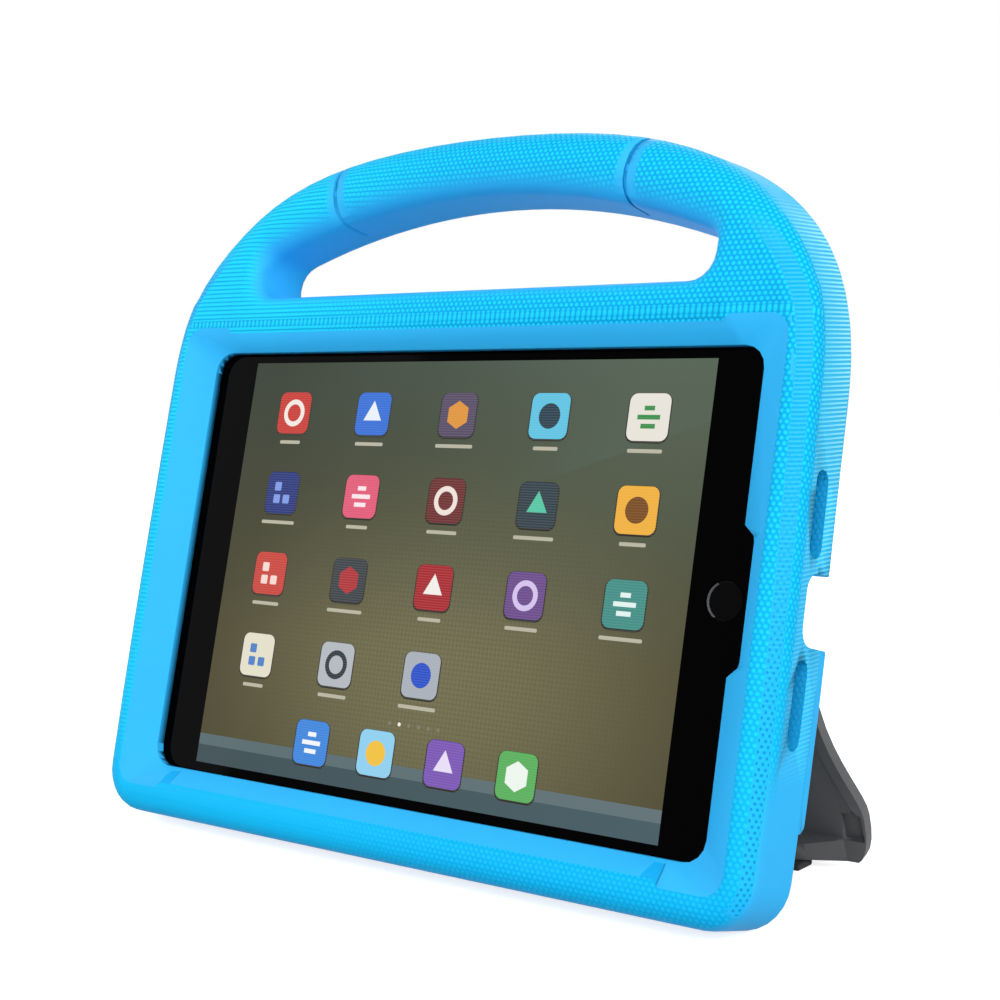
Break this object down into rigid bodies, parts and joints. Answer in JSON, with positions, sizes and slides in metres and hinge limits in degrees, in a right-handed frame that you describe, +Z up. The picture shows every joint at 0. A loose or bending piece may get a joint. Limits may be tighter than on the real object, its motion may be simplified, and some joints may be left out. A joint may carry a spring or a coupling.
{
  "type": "tablet case",
  "caption": "Foam tablet case with an arched carrying handle, a bevelled window, side cut-outs and a hinged rear stand, shown with a plain tablet in it and leaning on the open stand.",
  "frame": {"origin": "on the surface the case stands on, under the middle of its bounding box", "axes": "+X across the case, to the right seen from the screen side; +Y from the screen towards the stand; +Z up. The case leans back by 14.3 degrees."},
  "size_m": [0.2216, 0.0836, 0.1983],
  "materials": {
    "foam": "matt moulded foam",
    "stand_plastic": "satin moulded",
    "pad_rubber": "matt",
    "steel": "bright",
    "shell_metal": "bead blasted and anodised",
    "cover_glass": "polished",
    "screen": "lit display",
    "button_glass": "polished",
    "cell": "matt",
    "board": "solder resist"
  },
  "bodies": {
    "case_with_tablet": {"foam_body": "foam", "retainer_plate": "stand_plastic", "stand_base": "stand_plastic", "hinge_pin_left": "steel", "hinge_pin_right": "steel", "base_screw_1": "steel", "base_screw_2": "steel", "base_screw_3": "steel", "base_screw_4": "steel", "tablet_back_shell": "shell_metal", "front_glass": "cover_glass", "display_panel": "screen", "home_switch": "cell", "front_camera": "button_glass", "rear_camera_ring": "shell_metal", "rear_camera_lens": "button_glass", "rear_camera_module": "cell", "battery_pack": "cell", "logic_board": "board", "speaker_upper": "cell", "speaker_lower": "cell", "charging_port": "steel", "headphone_jack": "steel"},
    "stand": {"kickstand": "stand_plastic", "foot_pad_left": "pad_rubber", "foot_pad_right": "pad_rubber"},
    "home_button": {"home_button": "button_glass"},
    "power_button": {"power_button": "shell_metal"},
    "volume_up_button": {"volume_up_button": "shell_metal"},
    "volume_down_button": {"volume_down_button": "shell_metal"},
    "mute_switch": {"mute_switch": "shell_metal"}
  },
  "joints": [
    {"name": "stand_hinge", "type": "hinge", "parent": "case_with_tablet", "child": "stand", "pos_m": [0, 0.00667, 0.09507], "axis": [1, 0, 0], "range_deg": [-28.4, 0]},
    {"name": "home_press", "type": "slide", "parent": "case_with_tablet", "child": "home_button", "axis": [0, 0.969, -0.247], "range_m": [0, 0.0003], "stiffness_N_per_m": 2000, "springref_m": -0.0002},
    {"name": "power_press", "type": "slide", "parent": "case_with_tablet", "child": "power_button", "axis": [1, 0, 0], "range_m": [0, 0.00035], "stiffness_N_per_m": 2000, "springref_m": -0.0002},
    {"name": "volume_up_press", "type": "slide", "parent": "case_with_tablet", "child": "volume_up_button", "axis": [0, -0.247, -0.969], "range_m": [0, 0.00035], "stiffness_N_per_m": 2000, "springref_m": -0.0002},
    {"name": "volume_down_press", "type": "slide", "parent": "case_with_tablet", "child": "volume_down_button", "axis": [0, -0.247, -0.969], "range_m": [0, 0.00035], "stiffness_N_per_m": 2000, "springref_m": -0.0002},
    {"name": "mute_slide", "type": "slide", "parent": "case_with_tablet", "child": "mute_switch", "axis": [0, 0.969, -0.247], "range_m": [0, 0.0008]}
  ]
}
